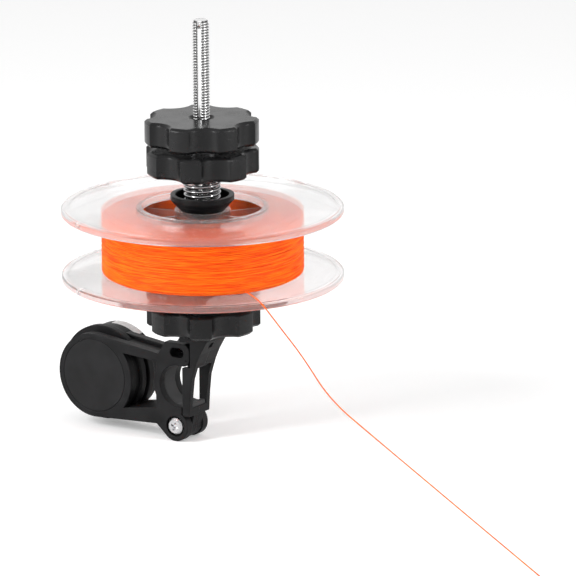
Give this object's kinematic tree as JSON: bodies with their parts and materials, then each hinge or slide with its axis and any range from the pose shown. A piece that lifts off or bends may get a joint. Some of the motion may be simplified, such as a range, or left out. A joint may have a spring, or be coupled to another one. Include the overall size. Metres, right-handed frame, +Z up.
{
  "type": "fishing line winder",
  "caption": "Portable line winder: hinged rod clamp with a round drum, threaded spindle, star knobs, sprung cone and a clear spool of orange braided line.",
  "frame": {"origin": "centre of the rod mouth, midway through the clamp's width", "axes": "+X along the clamp from the drum to the gate, +Y from the front side plate to the rear one along the rod mouth, +Z up along the spindle"},
  "size_m": [0.252, 0.1288, 0.1522],
  "materials": {
    "body": "fine satin",
    "label": "satin",
    "rubber": "matt",
    "steel": "bright zinc plate",
    "rod": "rolled thread, bright",
    "knob": "moulded sheen",
    "clear": "clear moulded plastic",
    "line": "braided fibre"
  },
  "bodies": {
    "clamp": {"front_side_plate": "body", "rear_side_plate": "body", "middle_frame": "body", "drum_barrel": "body", "front_inlay_disc": "body", "rear_inlay_disc": "body", "band_label": "label", "grip_pad": "rubber", "hinge_screw": "steel", "hinge_nut": "steel", "catch_pin": "steel", "catch_spring": "steel"},
    "gate": {"gate_front_half": "body", "gate_rear_half": "body", "gate_upper_pad": "rubber", "gate_lower_pad": "rubber", "spindle": "rod"},
    "lower_lock_carrier": {"lower_washer": "steel"},
    "lower_lock": {"lower_lock_knob": "knob", "lower_lock_insert": "steel"},
    "seat_carrier": {"lower_cone": "knob", "free_line": "line"},
    "seat": {"seat_knob": "knob", "seat_insert": "steel"},
    "spool": {"spool_lower_flange": "clear", "spool_upper_flange": "clear", "spool_core": "clear", "spool_hub": "clear", "spool_ribs": "clear", "line_core": "line", "line_outer_layer": "line"},
    "upper_cone": {"upper_cone": "knob", "pressure_spring": "steel"},
    "tension_carrier": {"tension_washer": "steel"},
    "tension": {"tension_knob": "knob", "tension_insert": "steel"},
    "lock_carrier": {"lock_washer": "steel"},
    "lock": {"lock_knob": "knob", "lock_insert": "steel"}
  },
  "joints": [
    {"name": "gate_swing", "type": "hinge", "parent": "clamp", "child": "gate", "pos_m": [-0.0013, 0, -0.0148], "axis": [0, 1, 0], "range_deg": [0, 45]},
    {"name": "lower_lock_travel", "type": "slide", "parent": "gate", "child": "lower_lock_carrier", "axis": [0, 0, 1], "range_m": [0, 0.006]},
    {"name": "lower_lock_turn", "type": "hinge", "parent": "lower_lock_carrier", "child": "lower_lock", "pos_m": [0.007, 0, 0.026], "axis": [0, 0, 1], "range_deg": [-72, 2232]},
    {"name": "seat_travel", "type": "slide", "parent": "lower_lock_carrier", "child": "seat_carrier", "axis": [0, 0, 1], "range_m": [0, 0.006]},
    {"name": "seat_turn", "type": "hinge", "parent": "seat_carrier", "child": "seat", "pos_m": [0.007, 0, 0.035], "axis": [0, 0, 1], "range_deg": [-72, 2232]},
    {"name": "spool_spin", "type": "hinge", "parent": "seat_carrier", "child": "spool", "pos_m": [0.007, 0, 0.052], "axis": [0, 0, 1], "continuous": true},
    {"name": "upper_cone_lift", "type": "slide", "parent": "seat_carrier", "child": "upper_cone", "axis": [0, 0, 1], "range_m": [0, 0.004], "deforming": ["pressure_spring"]},
    {"name": "tension_travel", "type": "slide", "parent": "seat_carrier", "child": "tension_carrier", "axis": [0, 0, 1], "range_m": [-0.003, 0.012], "deforming": ["pressure_spring"]},
    {"name": "tension_turn", "type": "hinge", "parent": "tension_carrier", "child": "tension", "pos_m": [0.007, 0, 0.082], "axis": [0, 0, 1], "range_deg": [-1152, 4392]},
    {"name": "lock_travel", "type": "slide", "parent": "tension_carrier", "child": "lock_carrier", "axis": [0, 0, 1], "range_m": [0, 0.01]},
    {"name": "lock_turn", "type": "hinge", "parent": "lock_carrier", "child": "lock", "pos_m": [0.007, 0, 0.092], "axis": [0, 0, 1], "range_deg": [-72, 3672]}
  ],
  "couplings": [
    {"joint": "lower_lock_turn", "follows": "lower_lock_travel", "rad_per_m": 6283.2},
    {"joint": "seat_turn", "follows": "seat_travel", "rad_per_m": 6283.2},
    {"joint": "tension_turn", "follows": "tension_travel", "rad_per_m": 6283.2},
    {"joint": "lock_turn", "follows": "lock_travel", "rad_per_m": 6283.2}
  ]
}
